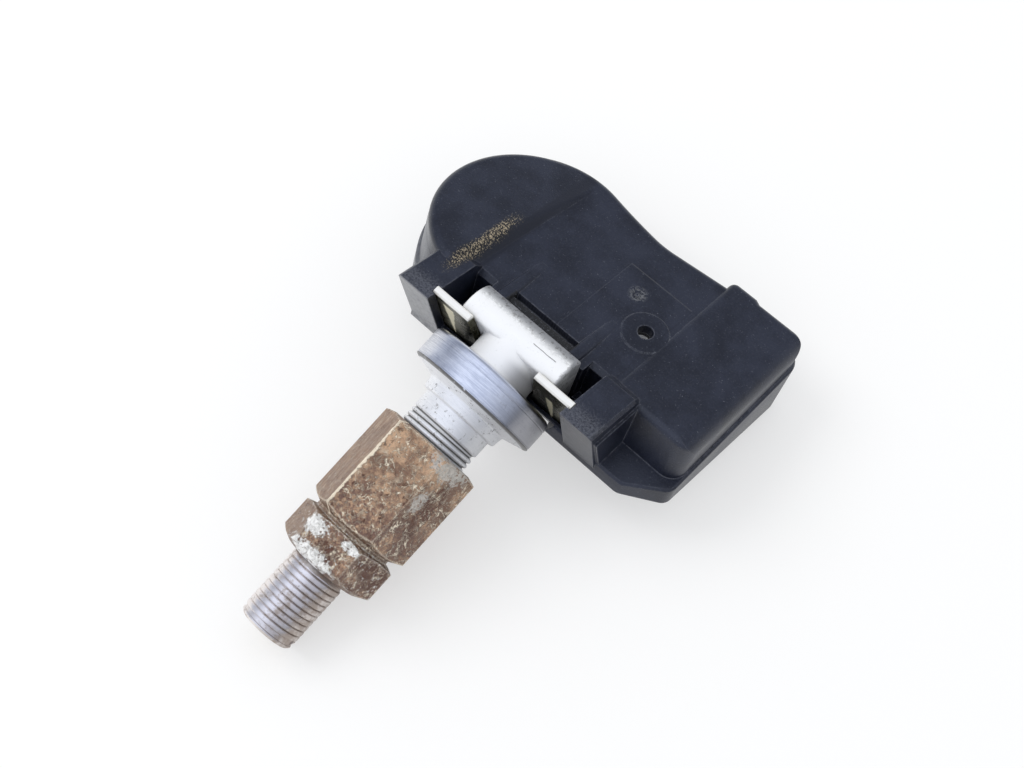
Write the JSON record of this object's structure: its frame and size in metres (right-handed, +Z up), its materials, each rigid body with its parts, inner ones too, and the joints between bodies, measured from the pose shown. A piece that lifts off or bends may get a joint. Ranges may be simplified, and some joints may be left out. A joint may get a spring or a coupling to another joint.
{
  "type": "tyre pressure sensor",
  "caption": "Wheel tyre pressure sensor: black moulded housing with a round and a square lobe, clipped to an aluminium clamp-in valve with flange, stained collar nut and threaded tip.",
  "frame": {"origin": "centre of the valve's flange at its outer rim, where the seal bears on the wheel rim", "axes": "+Z up as it lies on a table, +X along the housing to the square lobe, -Y the way the valve points, which also drops about 14 degrees below level"},
  "size_m": [0.0498, 0.073, 0.0226],
  "materials": {
    "housing_plastic": "fine-grained black moulding",
    "clip_steel": "bright spring steel, dulled",
    "valve_aluminium": "turned, satin",
    "nut_stained": "brown brake-dust stain over silver",
    "brass": "turned",
    "seal_rubber": "plain",
    "spring_steel": "drawn wire",
    "board_green": "solder resist",
    "cell_steel": "nickel plated",
    "tab_nickel": "rolled strip",
    "chip_black": "moulded",
    "lid_metal": "pressed can",
    "ferrite": "sintered",
    "copper": "enamelled wire",
    "chip_tan": "ceramic"
  },
  "bodies": {
    "sensor": {"housing_shell": "housing_plastic", "base_cover": "housing_plastic", "retaining_clip": "clip_steel", "valve_stem": "valve_aluminium", "core_barrel": "brass", "core_gasket": "seal_rubber", "core_spring": "spring_steel", "circuit_board": "board_green", "coin_cell": "cell_steel", "positive_tab": "tab_nickel", "negative_tab": "tab_nickel", "sensor_body": "chip_black", "sensor_lid": "lid_metal", "port_seal": "seal_rubber", "receiver_coil_core": "ferrite", "receiver_coil_winding": "copper", "radio_chip": "chip_black", "crystal_can": "lid_metal", "chip_parts": "chip_tan", "antenna_strip": "tab_nickel"},
    "nut": {"collar_nut": "nut_stained"},
    "pin": {"core_pin": "brass", "core_seal": "seal_rubber"}
  },
  "joints": [
    {"name": "nut_turn", "type": "hinge", "parent": "sensor", "child": "nut", "pos_m": [0, -0.01646, -0.00427], "axis": [0, -0.968, -0.251], "continuous": true},
    {"name": "core_pin_press", "type": "slide", "parent": "sensor", "child": "pin", "axis": [0, 0.968, 0.251], "range_m": [0, 0.001], "stiffness_N_per_m": 600, "springref_m": -0.002, "deforming": ["core_spring"]}
  ]
}
